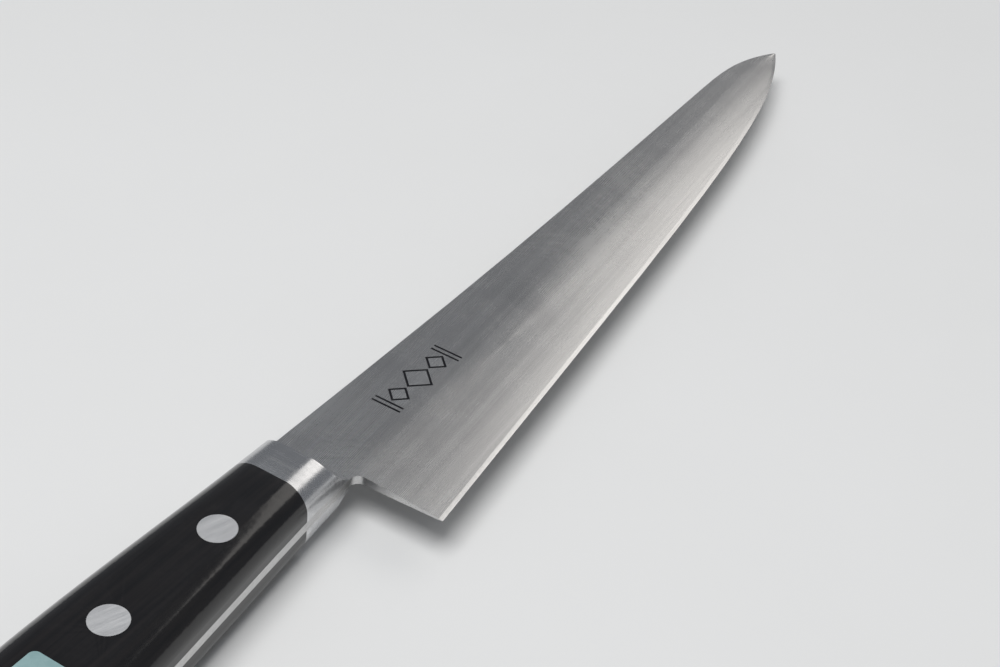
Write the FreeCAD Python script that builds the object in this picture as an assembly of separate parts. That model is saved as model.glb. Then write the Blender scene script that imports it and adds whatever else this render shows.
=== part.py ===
import FreeCAD, Part
import math
import os

# A chef's knife with a full tang, a welded two-part bolster and a riveted two-part handle.
#
# It is drawn in the knife's own frame: +X runs from the heel towards the tip, +Y towards the
# spine, +Z out of the right face. The heel's plane is x = 0, the line of the spine is y = 0 and
# the blade's middle plane is z = 0. At the end every piece is moved by the same step, so that the
# knife lies on the left face of its handle: z = 0 is then the surface under it, and x = y = 0 is
# the middle of its box.

V = FreeCAD.Vector

# Driving dimensions, in millimetres -----------------------------------------------------------

# Blade, seen from the side
BLADE_LENGTH = 240.0      # heel to tip
HEEL_HEIGHT = 41.1        # line of the spine to the heel's corner
TIP_DEPTH = 6.5           # line of the spine to the tip
TIP_CURVE = 35.0          # length in front in which the spine comes down to the tip
TIP_BLUNT = 0.4           # length lost to the rounding of the point
SPINE_DIP = 1.0           # hollow of the spine
SPINE_DIP_LENGTH = 175.0  # length of that hollow
CHOIL_RADIUS = 2.2        # inside corner between the heel and the neck

# Blade, seen from the tip
SPINE_AT_HEEL = 2.3       # thickness of the spine and of the tang
SPINE_AT_TIP = 0.5
EDGE_STOCK = 0.45         # thickness where the cheeks meet the sharpened bevel
BEVEL_HEIGHT = 1.0
EDGE_LAND = 0.06          # what is left of the very edge
MARK_DEPTH = 0.12

# Bolster
NECK = 2.5                # heel to the bolster's toe
NECK_HEIGHT = 19.2        # line of the spine to the underside of the neck
BOLSTER_LENGTH = 16.0     # toe to the front of the scales
BOLSTER_RISE = 6.5        # length over which the front face climbs from the blade
BOLSTER_HOLLOW = 14.0     # radius of that front face

# Handle
HANDLE_LENGTH = 120.0     # heel to butt
HANDLE_THICKNESS = 19.0   # across the flats
FRONT_THINNING = 1.3      # lost from each flat at the bolster's toe
THINNING_LENGTH = 37.5    # length of the handle that thins
SKIM = 0.02               # taken off each side when the flats are ground
SPINE_ROUND = 7.0         # rounding of the spine side
BELLY_ROUND = 6.2         # rounding of the belly side
BUTT_CORNER = 9.0         # rounding of the butt, seen from the side
BUTT_EASE = 4.0           # rounding of the butt, seen from above

# Rivets
RIVET_BACK = 37.9         # heel to the front rivet
RIVET_PITCH = 30.8
RIVET_DEPTHS = {"front": 12.7, "middle": 12.5, "rear": 13.6}    # below the line of the spine
HEAD_DIAMETER = 8.0
HEAD_THICKNESS = 2.4
SOCKET_DIAMETER = 4.8
PIN_DIAMETER = 3.2
PIN_SHORT = 1.0           # the pin stops this far from the socket's floor
SOCKET_SHORT = 0.5        # the socket stops this far from the other head
FIT = 0.05                # radial room of a head or a socket in its hole
PIN_FIT = 0.02            # radial room of the pin in the socket

# Label
LABEL_LENGTH = 14.0
LABEL_WIDTH = 13.0
LABEL_THICKNESS = 0.1
LABEL_CORNER = 1.5
LABEL_GAP = 13.2          # middle rivet to the label's front edge
LABEL_DEPTH = 6.9         # line of the spine to the label's upper edge

# Worked out from them -------------------------------------------------------------------------

TOE_X = -NECK
JOINT_X = TOE_X - BOLSTER_LENGTH
BUTT_X = -HANDLE_LENGTH
HALF_HANDLE = HANDLE_THICKNESS / 2
HALF_TANG = SPINE_AT_HEEL / 2
BIG = 2 * (BLADE_LENGTH + HANDLE_LENGTH)    # larger than the knife, for half-spaces

# Shape of the edge line, as shares of its climb from the heel to the tip: most of it is
# straight, some is the belly, and the last turns up into the point.
EDGE_CLIMB = ((0.66, 1), (0.21, 5), (0.13, 14))
SPINE_THINNING = ((0.56, 1), (0.44, 6))
FLAT_SHARE = 0.35         # part of the blade's height that is flat below the spine
CHEEK_SHARE = 0.35        # part of the cheek over which it leaves the flat
STOCK_SHARE = 0.6         # most of the spine's thickness that the bevel starts with near the tip
BEVEL_SHARE = 0.3         # most of the blade's height that the bevel takes near the tip

# Outline of the handle: share of the handle's length behind the heel, then y.
SPINE_SIDE = ((-0.04, 0.1), (0.02, 0.0), (0.2, -0.2), (0.42, 0.7), (0.62, 1.4), (0.83, 0.8), (1.0, -2.0))
BELLY_SIDE = ((-0.04, -19.2), (0.02, -19.3), (0.17, -20.3), (0.34, -22.1), (0.6, -24.9), (0.8, -27.2),
              (1.0, -29.4))

BLADE_STATIONS = 14
STATION_CROWDING = 1.7    # crowds the stations towards the tip
HANDLE_STATIONS = 12
BUTT_STATIONS = 7


def power_sum(terms, u):
    return sum(share * u ** power for share, power in terms)


# Blade ----------------------------------------------------------------------------------------

def spine_y(x):
    """Height of the spine: a long shallow hollow, then a curve down to the tip."""
    wave = -SPINE_DIP * math.sin(math.pi * x / SPINE_DIP_LENGTH)
    wave_at_tip = -SPINE_DIP * math.sin(math.pi * BLADE_LENGTH / SPINE_DIP_LENGTH)
    along = max(0.0, 1 - (BLADE_LENGTH - x) / TIP_CURVE)
    return wave - (TIP_DEPTH + wave_at_tip) * along ** 3


def edge_y(x):
    """Height of the edge line."""
    return -HEEL_HEIGHT + (HEEL_HEIGHT - TIP_DEPTH) * power_sum(EDGE_CLIMB, x / BLADE_LENGTH)


def spine_thickness(x):
    thinning = power_sum(SPINE_THINNING, max(0.0, x / BLADE_LENGTH))
    return SPINE_AT_HEEL + (SPINE_AT_TIP - SPINE_AT_HEEL) * thinning


def blade_section(x):
    """Closed outline across the blade: flats, convex cheeks and the sharpened bevels."""
    top = spine_y(x)
    low = edge_y(x)
    height = top - low
    half = spine_thickness(x) / 2
    stock = min(EDGE_STOCK / 2, STOCK_SHARE * half)
    shoulder = top - FLAT_SHARE * height
    bevel = low + min(BEVEL_HEIGHT, BEVEL_SHARE * height)
    turn = shoulder - CHEEK_SHARE * (shoulder - bevel)
    edges = []
    for side in (1, -1):
        flat = [V(x, top, side * half), V(x, shoulder, side * half)]
        cheek = [flat[1], V(x, turn, side * half), V(x, bevel, side * stock)]
        land = V(x, low, side * EDGE_LAND / 2)
        curve = Part.BezierCurve()
        curve.setPoles(cheek)
        run = [Part.makeLine(*flat), curve.toShape(), Part.makeLine(cheek[2], land)]
        edges.append(run)
    right, left = edges
    across_land = Part.makeLine(V(x, low, EDGE_LAND / 2), V(x, low, -EDGE_LAND / 2))
    across_spine = Part.makeLine(V(x, top, -half), V(x, top, half))
    return Part.Wire(right + [across_land] + left[::-1] + [across_spine])


def heel_cutter():
    """Removes the blade behind the heel and below the neck, with a round inside corner."""
    roof = -NECK_HEIGHT
    r = CHOIL_RADIUS
    middle = V(-r + r * math.cos(math.pi / 4), roof - r + r * math.sin(math.pi / 4), 0)
    arc = Part.Arc(V(0, roof - r, 0), middle, V(-r, roof, 0)).toShape()
    corners = [V(-r, roof, 0), V(-BIG, roof, 0), V(-BIG, -BIG, 0), V(0, -BIG, 0), V(0, roof - r, 0)]
    lines = [Part.makeLine(a, b) for a, b in zip(corners, corners[1:])]
    face = Part.Face(Part.Wire(lines + [arc]))
    face.translate(V(0, 0, -BIG / 2))
    return face.extrude(V(0, 0, BIG))


def ground_blade():
    """The blade from the bolster's toe to the tip."""
    last = BLADE_LENGTH - TIP_BLUNT
    shares = [1 - (1 - k / BLADE_STATIONS) ** STATION_CROWDING for k in range(BLADE_STATIONS + 1)]
    wires = [blade_section(TOE_X + (last - TOE_X) * share) for share in shares]
    return Part.makeLoft(wires, True, False).cut(heel_cutter())


# Handle ---------------------------------------------------------------------------------------

def curve_through(outline):
    curve = Part.BSplineCurve()
    curve.interpolate([V(-share * HANDLE_LENGTH, y, 0) for share, y in outline])
    return curve


def y_on(curve, x):
    hit = curve.intersectCC(Part.Line(V(x, 0, 0), V(x, 1, 0)))[0]
    return hit.Y


def handle_section(x, inset, ease, spine_curve, belly_curve):
    """Closed outline across the handle. inset and ease draw it in at the butt."""
    along = max(0.0, 1 - (TOE_X - x) / THINNING_LENGTH)
    half = HALF_HANDLE + SKIM - FRONT_THINNING * along ** 2 - ease
    top = y_on(spine_curve, x) - inset
    low = y_on(belly_curve, x) + inset
    spine_round = min(SPINE_ROUND, half - HALF_TANG)
    belly_round = min(BELLY_ROUND, half - HALF_TANG)
    corners = ((low, 1, belly_round), (top, -1, spine_round))
    arcs = {}
    for y, inward, r in corners:
        for side in (1, -1):
            on_wall = V(x, y, side * (half - r))
            on_flat = V(x, y + inward * r, side * half)
            bend = r * (1 - math.sqrt(0.5))
            middle = V(x, y + inward * bend, side * (half - bend))
            arcs[inward, side] = (on_wall, middle, on_flat)

    def arc(key, backwards):
        points = arcs[key][::-1] if backwards else arcs[key]
        return Part.Arc(*points).toShape()

    def line(a, b):
        return Part.makeLine(a, b)

    belly_up, spine_up = arcs[1, 1], arcs[-1, 1]
    belly_down, spine_down = arcs[1, -1], arcs[-1, -1]
    return Part.Wire([
        line(belly_down[0], belly_up[0]),
        arc((1, 1), False),
        line(belly_up[2], spine_up[2]),
        arc((-1, 1), True),
        line(spine_up[0], spine_down[0]),
        arc((-1, -1), False),
        line(spine_down[2], belly_down[2]),
        arc((1, -1), True),
    ])


def handle_body():
    """Outer shape of bolster, tang and scales together, from the toe to the butt."""
    spine_curve = curve_through(SPINE_SIDE)
    belly_curve = curve_through(BELLY_SIDE)
    shoulder = BUTT_X + BUTT_CORNER
    wires = []
    for k in range(HANDLE_STATIONS):
        x = TOE_X + (shoulder - TOE_X) * k / HANDLE_STATIONS
        wires.append(handle_section(x, 0, 0, spine_curve, belly_curve))
    for k in range(BUTT_STATIONS):
        turn = math.pi / 2 * k / (BUTT_STATIONS - 1)
        x = shoulder - BUTT_CORNER * math.sin(turn)
        drawn_in = 1 - math.cos(turn)
        wires.append(handle_section(x, BUTT_CORNER * drawn_in, BUTT_EASE * drawn_in,
                                    spine_curve, belly_curve))
    body = Part.makeLoft(wires, True, False)
    flats = Part.makeBox(BIG, BIG, HANDLE_THICKNESS, V(-BIG / 2, -BIG / 2, -HALF_HANDLE))
    return body.common(flats)


def slab(x_from, x_to, z_from, z_to):
    return Part.makeBox(x_to - x_from, BIG, z_to - z_from, V(x_from, -BIG / 2, z_from))


def side_slab(x_from, x_to, side):
    """All that lies on one side of the tang between two planes across the handle."""
    low, high = sorted((side * HALF_TANG, side * BIG / 2))
    return slab(x_from, x_to, low, high)


def front_hollow(side):
    """Round cutter that shapes the climb from the blade to the bolster's top."""
    toe = V(TOE_X, 0, side * HALF_TANG)
    rise = HALF_HANDLE - FRONT_THINNING - HALF_TANG
    crest = V(TOE_X - BOLSTER_RISE, 0, side * (HALF_TANG + rise))
    chord = crest - toe
    out = V(rise, 0, side * BOLSTER_RISE)
    out.normalize()
    reach = math.sqrt(BOLSTER_HOLLOW ** 2 - (chord.Length / 2) ** 2)
    centre = (toe + crest) * 0.5 + out * reach
    centre.y = -BIG / 2
    return Part.makeCylinder(BOLSTER_HOLLOW, BIG, centre, V(0, 1, 0))


def bolster(body, side):
    half = body.common(side_slab(JOINT_X, TOE_X, side))
    return half.cut(front_hollow(side))


# Rivets ---------------------------------------------------------------------------------------

def rod(place, diameter, z_from, z_to):
    return Part.makeCylinder(diameter / 2, z_to - z_from, V(place.x, place.y, z_from))


def rivet_place(number, depth):
    return V(-RIVET_BACK - number * RIVET_PITCH, -depth, 0)


def rivet_socket(place):
    """Left half: a head with a tube that passes through the scales and the tang."""
    head_floor = -HALF_HANDLE + HEAD_THICKNESS
    tube_end = HALF_HANDLE - HEAD_THICKNESS - SOCKET_SHORT
    head = rod(place, HEAD_DIAMETER, -HALF_HANDLE, head_floor)
    tube = rod(place, SOCKET_DIAMETER, head_floor, tube_end)
    bore = rod(place, PIN_DIAMETER + 2 * PIN_FIT, head_floor, tube_end)
    return head.fuse(tube).cut(bore)


def rivet_pin(place):
    """Right half: a head with a solid pin that is driven into the socket."""
    head_floor = HALF_HANDLE - HEAD_THICKNESS
    pin_end = -HALF_HANDLE + HEAD_THICKNESS + PIN_SHORT
    head = rod(place, HEAD_DIAMETER, head_floor, HALF_HANDLE)
    return head.fuse(rod(place, PIN_DIAMETER, pin_end, head_floor))


def drill(solid, places):
    """Stepped rivet holes: wide for the heads, narrow for the sockets."""
    wide = HEAD_DIAMETER + 2 * FIT
    narrow = SOCKET_DIAMETER + 2 * FIT
    for place in places:
        solid = solid.cut(rod(place, narrow, -BIG / 2, BIG / 2))
        solid = solid.cut(rod(place, wide, HALF_HANDLE - HEAD_THICKNESS, BIG / 2))
        solid = solid.cut(rod(place, wide, -BIG / 2, -HALF_HANDLE + HEAD_THICKNESS))
    return solid


# Mark and label -------------------------------------------------------------------------------

MARK_X = 35.0             # middle of the mark, from the heel
MARK_Y = -11.2            # middle of the mark, from the line of the spine
MARK_WIDTH = 7.6
BAR = 0.55                # width of a cut line
LOZENGES = ((-7.5, 2.6), (0.0, 3.8), (7.5, 2.6))    # middle of each, and middle to corner
END_BARS = (-12.6, -11.2, 11.2, 12.6)              # middle of each straight bar


def bar(x, y, length, angle, floor):
    """One straight cut with a flat floor."""
    piece = Part.makeBox(length, BAR, BIG, V(-length / 2, -BAR / 2, 0))
    piece.rotate(V(0, 0, 0), V(0, 0, 1), angle)
    piece.translate(V(MARK_X + x, MARK_Y + y, floor))
    return piece


def mark_cutters():
    """A plain ornament in the right face: three lozenges in a row between two pairs of bars."""
    floor = spine_thickness(MARK_X) / 2 - MARK_DEPTH
    cutters = [bar(x, 0, MARK_WIDTH, 90, floor) for x in END_BARS]
    for middle, radius in LOZENGES:
        side = radius * math.sqrt(2)
        for turn in (45, 135, 225, 315):
            angle = math.radians(turn)
            x = middle + side / 2 * math.cos(angle)
            cutters.append(bar(x, side / 2 * math.sin(angle), side + BAR, turn + 90, floor))
    return cutters


def label():
    """A blank adhesive label on the right flat, behind the middle rivet."""
    front = -RIVET_BACK - RIVET_PITCH - LABEL_GAP
    sheet = Part.makeBox(LABEL_LENGTH, LABEL_WIDTH, LABEL_THICKNESS,
                         V(front - LABEL_LENGTH, -LABEL_DEPTH - LABEL_WIDTH, HALF_HANDLE))
    upright = [e for e in sheet.Edges if abs(e.tangentAt(e.FirstParameter).z) > 0.5]
    return sheet.makeFillet(LABEL_CORNER, upright)


# Assembly -------------------------------------------------------------------------------------

def knife():
    body = handle_body()
    places = {name: rivet_place(k, depth) for k, (name, depth) in enumerate(RIVET_DEPTHS.items())}
    tang = drill(body.common(slab(-BIG / 2, TOE_X, -HALF_TANG, HALF_TANG)), places.values())
    blade = ground_blade().fuse(tang)
    for cutter in mark_cutters():
        blade = blade.cut(cutter)
    pieces = {"blade": blade}
    for name, side in (("right", 1), ("left", -1)):
        pieces["bolster_" + name] = bolster(body, side)
        slice_of_body = body.common(side_slab(-BIG / 2, JOINT_X, side))
        pieces["scale_" + name] = drill(slice_of_body, places.values())
    for name, place in places.items():
        pieces[f"rivet_{name}_socket"] = rivet_socket(place)
        pieces[f"rivet_{name}_pin"] = rivet_pin(place)
    pieces["label_sticker"] = label()
    return pieces


def main():
    pieces = knife()
    box = Part.makeCompound(list(pieces.values())).optimalBoundingBox(False)
    to_row = V(-box.Center.x, -box.Center.y, HALF_HANDLE)
    os.makedirs("parts", exist_ok=True)
    for name, shape in pieces.items():
        solid = shape.Solids[0]
        solid.translate(to_row)
        solid.exportStep(f"parts/{name}.step")
        print(name, len(shape.Solids), solid.isValid(), round(solid.Volume, 1))
    print("box", box)
    print("moved by", to_row)


main()
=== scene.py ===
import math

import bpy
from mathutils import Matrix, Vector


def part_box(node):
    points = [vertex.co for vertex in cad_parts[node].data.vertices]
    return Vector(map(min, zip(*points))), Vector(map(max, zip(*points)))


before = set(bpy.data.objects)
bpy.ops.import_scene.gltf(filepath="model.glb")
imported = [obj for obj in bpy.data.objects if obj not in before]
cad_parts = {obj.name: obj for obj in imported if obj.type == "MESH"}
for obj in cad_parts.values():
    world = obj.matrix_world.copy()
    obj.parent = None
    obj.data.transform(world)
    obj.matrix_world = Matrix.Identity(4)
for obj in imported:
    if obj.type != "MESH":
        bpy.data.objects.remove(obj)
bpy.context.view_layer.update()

# %% [markdown]
# # A chef's knife on a pale table
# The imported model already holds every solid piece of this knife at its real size: blade and tang in
# one, two bolster halves, two handle scales, three two-part rivets and a blank label. This notebook
# gives those pieces their finishes, lights them and looks at them. We could redraw the pieces here,
# but the exact solids are better shapes than a second drawing would be, so only the looks are ours.

BLADE_LOW, BLADE_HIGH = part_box("blade")
HEEL_TO_POINT = 0.2396  # the point is blunted by 0.4 mm
HEEL_X = BLADE_HIGH[0] - HEEL_TO_POINT
HEEL_HEIGHT = 0.0411
SPINE_Y = BLADE_LOW[1] + HEEL_HEIGHT
MIDDLE_Z = (BLADE_LOW[2] + BLADE_HIGH[2]) / 2


def at(x, y, z):
    """A place in metres from the heel, from the line of the spine and from the blade's middle plane."""
    return Vector((HEEL_X + x, SPINE_Y + y, MIDDLE_Z + z))


print("heel at", round(HEEL_X, 4), "spine at", round(SPINE_Y, 4), "middle plane at", round(MIDDLE_Z, 4))

# %% [markdown]
# ## Camera
# The knife is seen from behind its handle, from above and from the edge's side, with the tip far away.
# A long lens keeps the taper of the blade honest. We could aim the camera with a constraint, but a
# matrix made of three directions is exact and leaves nothing to solve.

# %% Place the camera
HEADING, DIP, ROLL = math.radians(27.4), math.radians(36.52), math.radians(-7.41)
LENS, SENSOR = 64.8, 36.0  # millimetres
CAMERA_PLACE = at(-0.2403, -0.1732, 0.2526)

forward = Vector((math.cos(HEADING) * math.cos(DIP), math.sin(HEADING) * math.cos(DIP), -math.sin(DIP)))
level = Vector((math.sin(HEADING), -math.cos(HEADING), 0))
below = forward.cross(level)
right = level * math.cos(ROLL) + below * math.sin(ROLL)
down = below * math.cos(ROLL) - level * math.sin(ROLL)
turn = Matrix((right, -down, -forward)).transposed().to_4x4()

lens = bpy.data.cameras.new("camera")
lens.lens = LENS
lens.sensor_width = SENSOR
lens.clip_start = 0.01
camera = bpy.data.objects.new("camera", lens)
bpy.context.scene.collection.objects.link(camera)
camera.matrix_world = Matrix.Translation(CAMERA_PLACE) @ turn
bpy.context.scene.camera = camera
bpy.context.scene.view_settings.view_transform = "Standard"
print("camera at", [round(c, 3) for c in camera.matrix_world.translation])

# %% [markdown]
# ## Light
# Steel shows what is around it more than its own colour. A wide soft box beyond the tip and towards
# the edge's side is what the cheeks lean to, so they read lighter than the flat below the spine, and
# the same box runs along the rounded corner of bolster and handle. It is a little warm, and a second
# box overhead is white. A dim, slightly blue even sky fills the rest.
# A picture of a room could light it too, but two plain lamps are easier to understand.

# %% Lamps and sky
def soft_box(name, place, target, size, power, colour):
    """A rectangular lamp that faces its target."""
    lamp = bpy.data.lights.new(name, "AREA")
    lamp.shape = "RECTANGLE"
    lamp.size, lamp.size_y = size
    lamp.energy = power
    lamp.color = colour
    body = bpy.data.objects.new(name, lamp)
    bpy.context.scene.collection.objects.link(body)
    body.location = place
    body.rotation_euler = (target - place).to_track_quat("-Z", "Y").to_euler()
    return body


WARM_WHITE, WHITE = (1, 0.965, 0.915), (1, 1, 1)
SKY_COLOUR, SKY_STRENGTH = (0.80, 0.84, 0.90, 1), 0.27

soft_box("key_box", place=at(1.25, -0.12, 0.98), target=at(0.05, -0.02, 0), size=(1.1, 0.7),
         power=3.6, colour=WARM_WHITE)
soft_box("top_box", place=at(-0.30, 0.05, 1.30), target=at(0.05, 0, 0), size=(0.9, 0.9),
         power=13, colour=WHITE)

world = bpy.data.worlds.new("sky")
world.use_nodes = True
backdrop = world.node_tree.nodes["Background"]
backdrop.inputs["Color"].default_value = SKY_COLOUR
backdrop.inputs["Strength"].default_value = SKY_STRENGTH
bpy.context.scene.world = world

# %% [markdown]
# ## Small tools for materials
# Each finish is made of nodes. Effects that several finishes share are node groups with named
# inputs and outputs, built once: fine parallel polishing lines, a soft cloudy mottle, and wear on
# corners. We could paint pictures instead, but formulas stay sharp at any distance.

# %% Node helpers
def start_group(name, inputs, outputs):
    """An empty node group with the given sockets."""
    group = bpy.data.node_groups.new(name, "ShaderNodeTree")
    for label, kind, value in inputs:
        socket = group.interface.new_socket(label, in_out="INPUT", socket_type=kind)
        socket.default_value = value
    for label, kind in outputs:
        group.interface.new_socket(label, in_out="OUTPUT", socket_type=kind)
    return group, group.nodes.new("NodeGroupInput"), group.nodes.new("NodeGroupOutput")


def add(tree, kind, **settings):
    """A node with its settings; a name that is an input socket sets that socket."""
    node = tree.nodes.new(kind)
    for key, value in settings.items():
        label = key.replace("_", " ").title()
        if hasattr(node, key):
            setattr(node, key, value)
        else:
            node.inputs[label].default_value = value
    return node


def math_node(tree, operation, a, b=None):
    """One sum: a and b are sockets or numbers."""
    node = tree.nodes.new("ShaderNodeMath")
    node.operation = operation
    for socket, value in zip(node.inputs, (a, b)):
        if value is None:
            continue
        if isinstance(value, (int, float)):
            socket.default_value = value
        else:
            tree.links.new(value, socket)
    return node.outputs[0]


def blend(tree, factor, dark, light):
    """A colour between two colours."""
    node = tree.nodes.new("ShaderNodeMix")
    node.data_type = "RGBA"
    for socket, value in ((node.inputs[0], factor), (node.inputs[6], dark), (node.inputs[7], light)):
        if isinstance(value, (tuple, float, int)):
            socket.default_value = value
        else:
            tree.links.new(value, socket)
    return node.outputs[2]


def span(tree, value, low, high, to_low=0.0, to_high=1.0):
    """Maps a value from one range to another and clamps it."""
    node = tree.nodes.new("ShaderNodeMapRange")
    tree.links.new(value, node.inputs["Value"])
    for label, number in (("From Min", low), ("From Max", high), ("To Min", to_low), ("To Max", to_high)):
        node.inputs[label].default_value = number
    return node.outputs[0]


print("node helpers ready")

# %% [markdown]
# ### Polishing lines
# A belt or stone leaves very long, very thin scratches in one direction. Noise stretched a hundred
# times along that direction gives them; a second layer, eleven times coarser, groups them into bands.

# %% Group: polishing lines
BAND_SCALE = 0.09


def make_polish_lines():
    group, given, result = start_group(
        "polish_lines",
        (("Direction", "NodeSocketVector", (0, 0, 0)), ("Fine", "NodeSocketFloat", 9000.0),
         ("Stretch", "NodeSocketFloat", 0.012)),
        (("Lines", "NodeSocketFloat"), ("Bands", "NodeSocketFloat")))
    place = add(group, "ShaderNodeTexCoord")
    turned = add(group, "ShaderNodeVectorRotate", rotation_type="EULER_XYZ")
    group.links.new(place.outputs["Object"], turned.inputs["Vector"])
    group.links.new(given.outputs["Direction"], turned.inputs["Rotation"])
    squash = group.nodes.new("ShaderNodeCombineXYZ")
    group.links.new(given.outputs["Stretch"], squash.inputs["X"])
    squash.inputs["Y"].default_value = 1
    squash.inputs["Z"].default_value = 1
    long = group.nodes.new("ShaderNodeVectorMath")
    long.operation = "MULTIPLY"
    group.links.new(turned.outputs[0], long.inputs[0])
    group.links.new(squash.outputs[0], long.inputs[1])
    for name, share, detail in (("Lines", 1.0, 3.0), ("Bands", BAND_SCALE, 2.0)):
        noise = add(group, "ShaderNodeTexNoise", detail=detail, roughness=0.6)
        group.links.new(long.outputs[0], noise.inputs["Vector"])
        group.links.new(math_node(group, "MULTIPLY", given.outputs["Fine"], share), noise.inputs["Scale"])
        group.links.new(noise.outputs["Fac"], result.inputs[name])
    return group


POLISH = make_polish_lines()
print(POLISH.name, [s.name for s in POLISH.interface.items_tree])

# %% [markdown]
# ### Mottle and corner wear
# Nothing handled stays even: steel dulls in soft clouds, lacquer takes smears. Corners are rubbed
# first, and the mesh's own curvature tells the shader where they are.

# %% Groups: mottle and wear
def make_mottle():
    group, given, result = start_group(
        "mottle", (("Scale", "NodeSocketFloat", 60.0), ("Contrast", "NodeSocketFloat", 0.3)),
        (("Cloud", "NodeSocketFloat"),))
    place = add(group, "ShaderNodeTexCoord")
    cloud = add(group, "ShaderNodeTexNoise", detail=5.0, roughness=0.62, distortion=0.4)
    group.links.new(place.outputs["Object"], cloud.inputs["Vector"])
    group.links.new(given.outputs["Scale"], cloud.inputs["Scale"])
    centred = math_node(group, "SUBTRACT", cloud.outputs["Fac"], 0.5)
    spread = math_node(group, "MULTIPLY", centred, given.outputs["Contrast"])
    group.links.new(math_node(group, "ADD", spread, 0.5), result.inputs["Cloud"])
    return group


def make_corner_wear():
    group, given, result = start_group(
        "corner_wear", (("Start", "NodeSocketFloat", 0.52), ("End", "NodeSocketFloat", 0.60)),
        (("Wear", "NodeSocketFloat"),))
    shape = add(group, "ShaderNodeNewGeometry")
    place = add(group, "ShaderNodeTexCoord")
    broken = add(group, "ShaderNodeTexNoise", scale=900.0, detail=3.0)
    group.links.new(place.outputs["Object"], broken.inputs["Vector"])
    ramp = group.nodes.new("ShaderNodeMapRange")
    group.links.new(shape.outputs["Pointiness"], ramp.inputs["Value"])
    group.links.new(given.outputs["Start"], ramp.inputs["From Min"])
    group.links.new(given.outputs["End"], ramp.inputs["From Max"])
    patchy = span(group, broken.outputs["Fac"], 0.35, 0.65, 0.4, 1.0)
    group.links.new(math_node(group, "MULTIPLY", ramp.outputs[0], patchy), result.inputs["Wear"])
    return group


MOTTLE = make_mottle()
WEAR = make_corner_wear()
print(MOTTLE.name, WEAR.name)

# %% [markdown]
# ### Starting a finish
# Each finish begins with one Principled shader. Three short helpers make it, place a group in it with
# its own values, and turn a height into a relief. Fine scratches are far too small to be modelled as
# shape, so a bump of a few hundredths of a millimetre stands for them.

# %% Start a finish
SCRATCH_DEPTH = 0.00004


def start_finish(name):
    """A material with only its shader and output."""
    finish = bpy.data.materials.new(name)
    finish.use_nodes = True
    tree = finish.node_tree
    return finish, tree, tree.nodes["Principled BSDF"]


def use(tree, group, **values):
    """A shared group, placed with its own values."""
    node = tree.nodes.new("ShaderNodeGroup")
    node.node_tree = group
    for label, value in values.items():
        node.inputs[label].default_value = value
    return node


def relief(tree, shader, height, strength, distance):
    """A bump from a height socket."""
    bump = add(tree, "ShaderNodeBump", strength=strength, distance=distance)
    tree.links.new(height, bump.inputs["Height"])
    tree.links.new(bump.outputs["Normal"], shader.inputs["Normal"])


print("finish helpers ready")

# %% [markdown]
# ## Blade
# The blade is satin carbon steel. Its polish runs lengthwise, nearly along the edge, and catches
# light in faint streaks. The last millimetre is the sharpened bevel, scratched across, though this
# finish gives it the same lengthwise lines as the rest. The small ornament cut into the right face
# holds dark residue, so a mask on its flat floor darkens it. Separate dark inlays would also work,
# but the floor is already there.

# %% Finish: blade
MARK_FLOOR = at(0.0350, -0.0112, 0.0009565)
MARK_REACH = Vector((0.0134, 0.0043, 0.00003))


def make_blade_steel():
    finish, tree, shader = start_finish("blade_satin_steel")
    lines = use(tree, POLISH, Direction=(0, 0, math.radians(-4)), Fine=5200.0, Stretch=0.010)
    cloud = use(tree, MOTTLE, Scale=38.0, Contrast=1.1)
    wear = use(tree, WEAR, Start=0.53, End=0.62)
    tone = math_node(tree, "MULTIPLY", lines.outputs["Bands"], 0.55)
    tone = math_node(tree, "ADD", tone, math_node(tree, "MULTIPLY", cloud.outputs["Cloud"], 0.45))
    colour = blend(tree, span(tree, tone, 0.3, 0.7), (0.46, 0.455, 0.455, 1), (0.60, 0.595, 0.59, 1))
    rubbed = math_node(tree, "MULTIPLY", wear.outputs["Wear"], 0.5)
    colour = blend(tree, rubbed, colour, (0.75, 0.75, 0.75, 1))
    place = add(tree, "ShaderNodeTexCoord")
    axes = add(tree, "ShaderNodeSeparateXYZ")
    tree.links.new(place.outputs["Object"], axes.inputs[0])
    masks = []
    for axis, middle, reach in zip("XYZ", MARK_FLOOR, MARK_REACH):
        away = math_node(tree, "ABSOLUTE", math_node(tree, "SUBTRACT", axes.outputs[axis], middle))
        masks.append(math_node(tree, "LESS_THAN", away, reach))
    etched = math_node(tree, "MULTIPLY", math_node(tree, "MULTIPLY", masks[0], masks[1]), masks[2])
    colour = blend(tree, etched, colour, (0.030, 0.030, 0.034, 1))
    tree.links.new(colour, shader.inputs["Base Color"])
    rough = math_node(tree, "ADD", math_node(tree, "MULTIPLY", lines.outputs["Lines"], 0.16),
                      math_node(tree, "MULTIPLY", cloud.outputs["Cloud"], 0.20))
    rough = math_node(tree, "ADD", rough, math_node(tree, "MULTIPLY", etched, 0.30))
    tree.links.new(span(tree, rough, 0.0, 0.8, 0.16, 0.62), shader.inputs["Roughness"])
    shader.inputs["Metallic"].default_value = 1
    shader.inputs["Anisotropic"].default_value = 0.35
    relief(tree, shader, lines.outputs["Lines"], 0.05, SCRATCH_DEPTH)
    return finish


BLADE_STEEL = make_blade_steel()
print(BLADE_STEEL.name)

# %% [markdown]
# ## Bolster and rivets
# The bolster is finished finer than the blade and across it, as it is polished on a small wheel.
# Rivet heads are ground flush with the scales, so their lines all run one way and a dark hairline
# shows round each head, which the gap between head and hole already gives.

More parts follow.
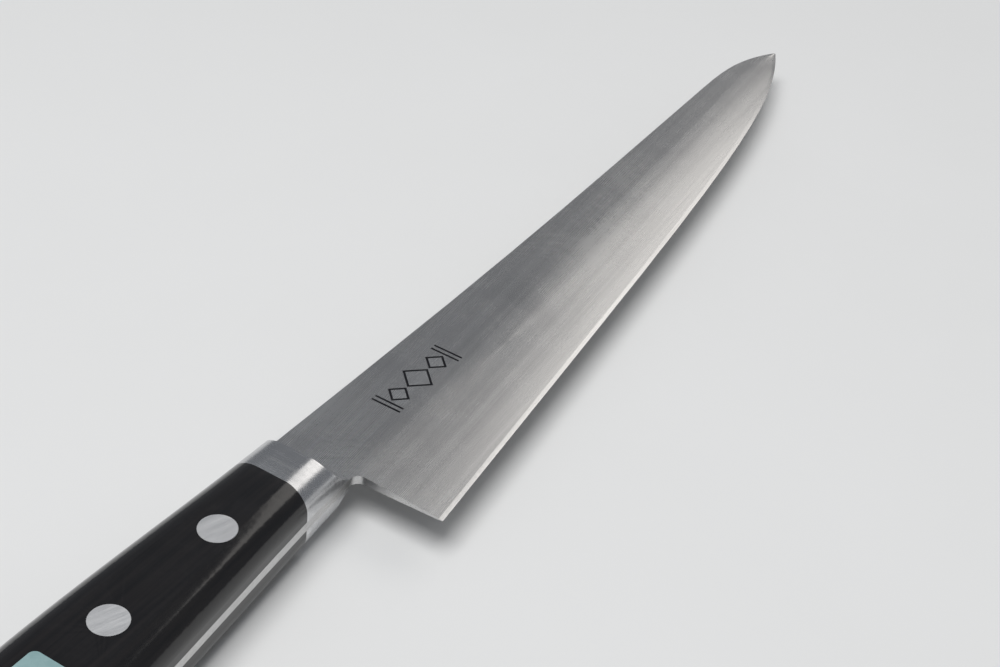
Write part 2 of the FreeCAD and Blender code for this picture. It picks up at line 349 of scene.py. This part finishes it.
# %% Finish: bolster and rivets
def make_fine_steel(name, colour_pair, direction, fine, rough_pair, grain):
    finish, tree, shader = start_finish(name)
    lines = use(tree, POLISH, Direction=direction, Fine=fine, Stretch=0.03)
    cloud = use(tree, MOTTLE, Scale=120.0, Contrast=0.9)
    wear = use(tree, WEAR, Start=0.52, End=0.58)
    colour = blend(tree, span(tree, cloud.outputs["Cloud"], 0.2, 0.8), *colour_pair)
    rubbed = math_node(tree, "MULTIPLY", wear.outputs["Wear"], 0.6)
    colour = blend(tree, rubbed, colour, (0.82, 0.82, 0.83, 1))
    tree.links.new(colour, shader.inputs["Base Color"])
    mixed = math_node(tree, "MULTIPLY", lines.outputs["Lines"], 0.6)
    mixed = math_node(tree, "ADD", mixed, math_node(tree, "MULTIPLY", lines.outputs["Bands"], 0.4))
    tree.links.new(span(tree, mixed, 0.3, 0.7, *rough_pair), shader.inputs["Roughness"])
    shader.inputs["Metallic"].default_value = 1
    relief(tree, shader, lines.outputs["Lines"], grain, SCRATCH_DEPTH)
    return finish


BOLSTER_STEEL = make_fine_steel(
    "bolster_fine_satin", colour_pair=((0.50, 0.505, 0.515, 1), (0.62, 0.62, 0.63, 1)),
    direction=(0, 0, math.radians(90)), fine=6500.0, rough_pair=(0.17, 0.34), grain=0.10)
RIVET_METAL = make_fine_steel(
    "rivet_nickel_silver", colour_pair=((0.80, 0.80, 0.80, 1), (0.90, 0.90, 0.895, 1)),
    direction=(0, 0, math.radians(20)), fine=7000.0, rough_pair=(0.34, 0.52), grain=0.16)
print(BOLSTER_STEEL.name, RIVET_METAL.name)

# %% [markdown]
# ## Handle scales
# The scales are thin veneers pressed with black resin and buffed bright. The layers barely show, as
# a slow change of black to brown-black along the handle, and the gloss is broken by smears and very
# fine buffing lines. The base is smooth enough to shine by itself, and a thin clear coat adds a little
# sharpness.

# %% Finish: scales
def make_black_laminate():
    finish, tree, shader = start_finish("scale_black_laminate")
    grain = use(tree, POLISH, Direction=(math.radians(4), math.radians(1), 0), Fine=900.0, Stretch=0.03)
    buff = use(tree, POLISH, Direction=(0, 0, math.radians(8)), Fine=8000.0, Stretch=0.02)
    smear = use(tree, MOTTLE, Scale=45.0, Contrast=1.3)
    wear = use(tree, WEAR, Start=0.515, End=0.60)
    layers = span(tree, grain.outputs["Lines"], 0.35, 0.68)
    colour = blend(tree, layers, (0.0030, 0.0028, 0.0036, 1), (0.0095, 0.0078, 0.0080, 1))
    rubbed = math_node(tree, "MULTIPLY", wear.outputs["Wear"], 0.35)
    colour = blend(tree, rubbed, colour, (0.030, 0.028, 0.028, 1))
    tree.links.new(colour, shader.inputs["Base Color"])
    rough = math_node(tree, "ADD", math_node(tree, "MULTIPLY", smear.outputs["Cloud"], 0.6),
                      math_node(tree, "MULTIPLY", buff.outputs["Lines"], 0.4))
    tree.links.new(span(tree, rough, 0.2, 0.8, 0.09, 0.22), shader.inputs["Roughness"])
    shader.inputs["Coat Weight"].default_value = 0.15
    shader.inputs["Coat Roughness"].default_value = 0.08
    relief(tree, shader, buff.outputs["Lines"], 0.05, 0.00003)
    return finish


BLACK_LAMINATE = make_black_laminate()
print(BLACK_LAMINATE.name)

# %% [markdown]
# ## Label
# A small blank sticker of coated paper in pale teal, with nothing printed on it. Paper fibres give a
# weak relief, and the coating a soft sheen.

# %% Finish: label
def make_label_paper():
    finish, tree, shader = start_finish("label_coated_paper")
    fibre = use(tree, MOTTLE, Scale=700.0, Contrast=1.0)
    stain = use(tree, MOTTLE, Scale=90.0, Contrast=0.8)
    tone = math_node(tree, "ADD", math_node(tree, "MULTIPLY", fibre.outputs["Cloud"], 0.3),
                     math_node(tree, "MULTIPLY", stain.outputs["Cloud"], 0.7))
    colour = blend(tree, span(tree, tone, 0.3, 0.7), (0.20, 0.335, 0.345, 1), (0.31, 0.46, 0.465, 1))
    tree.links.new(colour, shader.inputs["Base Color"])
    tree.links.new(span(tree, fibre.outputs["Cloud"], 0.2, 0.8, 0.36, 0.56), shader.inputs["Roughness"])
    relief(tree, shader, fibre.outputs["Cloud"], 0.25, 0.00005)
    return finish


LABEL_PAPER = make_label_paper()
print(LABEL_PAPER.name)

# %% [markdown]
# ## Dress the pieces
# Every carried-over solid keeps its shape and gets its finish. One table says which piece is made of
# what, so nothing can be left in plain grey.

# %% Give each piece its finish
FINISHES = {"blade": BLADE_STEEL, "bolster": BOLSTER_STEEL, "scale": BLACK_LAMINATE,
            "rivet": RIVET_METAL, "label": LABEL_PAPER}

for node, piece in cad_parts.items():
    finish = FINISHES[node.split("_")[0]]
    piece.data.materials.clear()
    piece.data.materials.append(finish)
    print(node, "->", finish.name, len(piece.data.polygons), "faces")

# %% [markdown]
# ## Floor
# The knife lies on a plain pale table. A single large sheet would do; a little mottle keeps it from
# looking like empty paper.

# %% Floor
FLOOR_REACH = 4.0


def make_floor():
    mesh = bpy.data.meshes.new("floor")
    corners = [(x * FLOOR_REACH, y * FLOOR_REACH, 0) for x, y in ((-1, -1), (1, -1), (1, 1), (-1, 1))]
    mesh.from_pydata(corners, [], [(0, 1, 2, 3)])
    floor = bpy.data.objects.new("floor", mesh)
    bpy.context.scene.collection.objects.link(floor)
    finish, tree, shader = start_finish("floor_pale")
    cloud = use(tree, MOTTLE, Scale=9.0, Contrast=0.6)
    tree.links.new(blend(tree, cloud.outputs["Cloud"], (0.79, 0.79, 0.78, 1), (0.85, 0.85, 0.845, 1)),
                   shader.inputs["Base Color"])
    shader.inputs["Roughness"].default_value = 0.85
    mesh.materials.append(finish)
    return floor


FLOOR = make_floor()
print("floor at", FLOOR.location.z)
